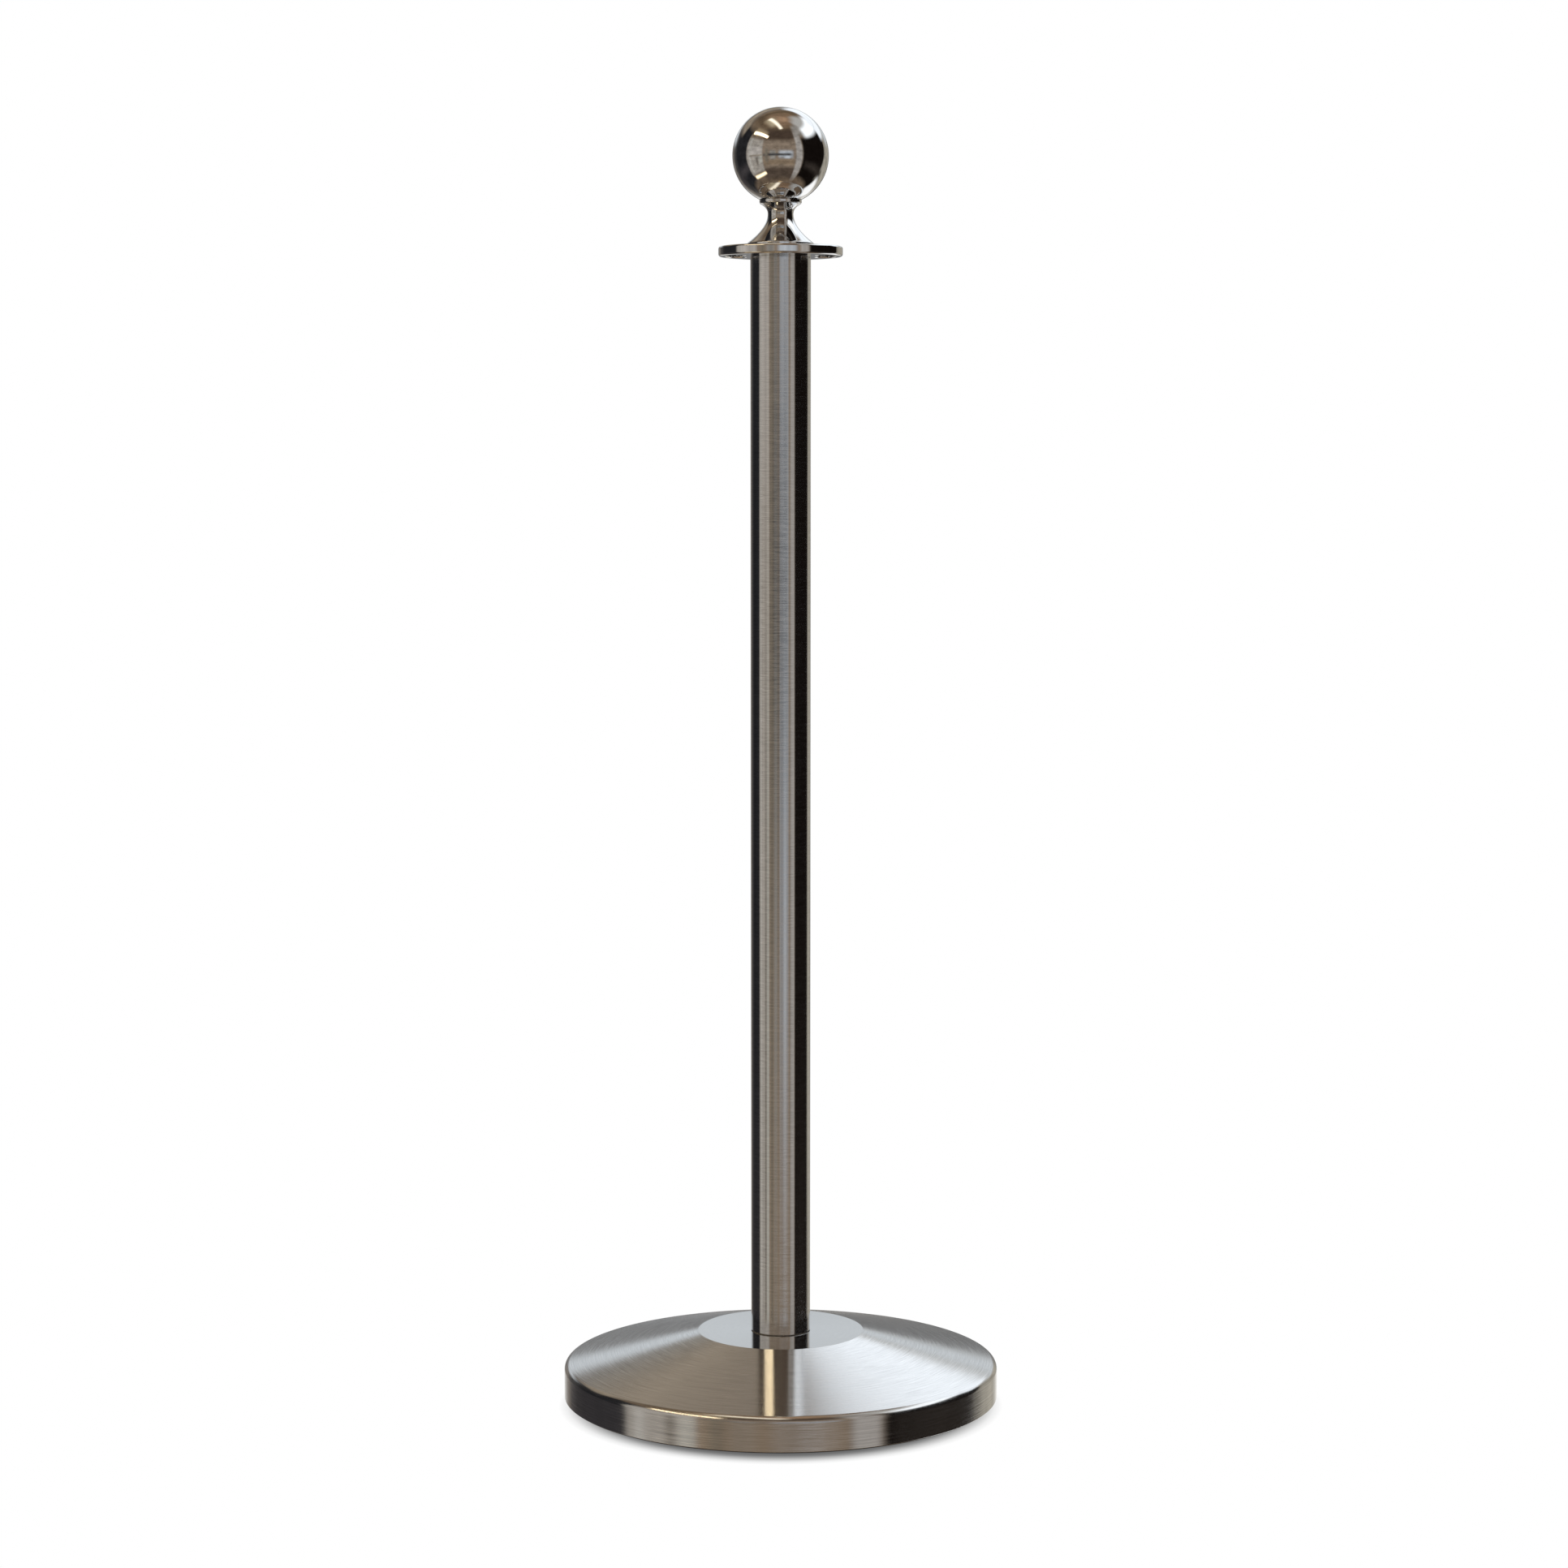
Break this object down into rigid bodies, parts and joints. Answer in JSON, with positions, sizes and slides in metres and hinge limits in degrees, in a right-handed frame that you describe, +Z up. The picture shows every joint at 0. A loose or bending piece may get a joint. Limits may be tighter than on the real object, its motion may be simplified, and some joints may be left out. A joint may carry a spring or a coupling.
{
  "type": "rope barrier stanchion",
  "caption": "Free-standing metal post on a low round weighted base, with a slotted disc for rope hooks under a round ball finial.",
  "frame": {"origin": "on the floor, on the axis of the post, at the middle of the underside of the base", "axes": "+Z up along the post towards the ball; -Y is the front; +X is to the right seen from the front"},
  "size_m": [0.33, 0.33, 0.9723],
  "materials": {
    "polished_steel": "mirror polished stainless steel",
    "tube_steel": "stainless steel brushed round the tube",
    "cover_steel": "stainless steel brushed in circles",
    "plated_steel": "zinc plated turned steel",
    "cast_iron": "black painted casting",
    "rubber": "moulded rubber",
    "nylon": "natural nylon"
  },
  "bodies": {
    "post": {"floor_ring": "rubber", "base_weight": "cast_iron", "base_cover": "cover_steel", "spreader_plate": "plated_steel", "hub_spacer": "plated_steel", "base_bolt": "plated_steel", "bolt_lock_washer": "plated_steel", "bolt_washer": "plated_steel", "foot_seal": "rubber", "tube_foot_plug": "plated_steel", "post_tube": "tube_steel", "tube_top_plug": "plated_steel"},
    "ring": {"rope_ring": "polished_steel"},
    "washer": {"slip_washer": "nylon"},
    "head": {"head_stud": "plated_steel", "neck_sleeve": "plated_steel", "flared_neck": "polished_steel", "neck_bead": "polished_steel", "ball_boss": "plated_steel", "finial_ball": "polished_steel"}
  },
  "joints": [
    {"name": "ring_swivel", "type": "hinge", "parent": "post", "child": "ring", "pos_m": [0, 0, 0.8624], "axis": [0, 0, 1], "continuous": true},
    {"name": "head_lift", "type": "slide", "parent": "post", "child": "washer", "axis": [0, 0, 1], "range_m": [0, 0.0175]},
    {"name": "head_unscrew", "type": "hinge", "parent": "washer", "child": "head", "pos_m": [0, 0, 0.8697], "axis": [0, 0, 1], "range_deg": [0, 3600]}
  ],
  "couplings": [
    {"joint": "head_lift", "follows": "head_unscrew", "m_per_rad": 0.00027852}
  ]
}
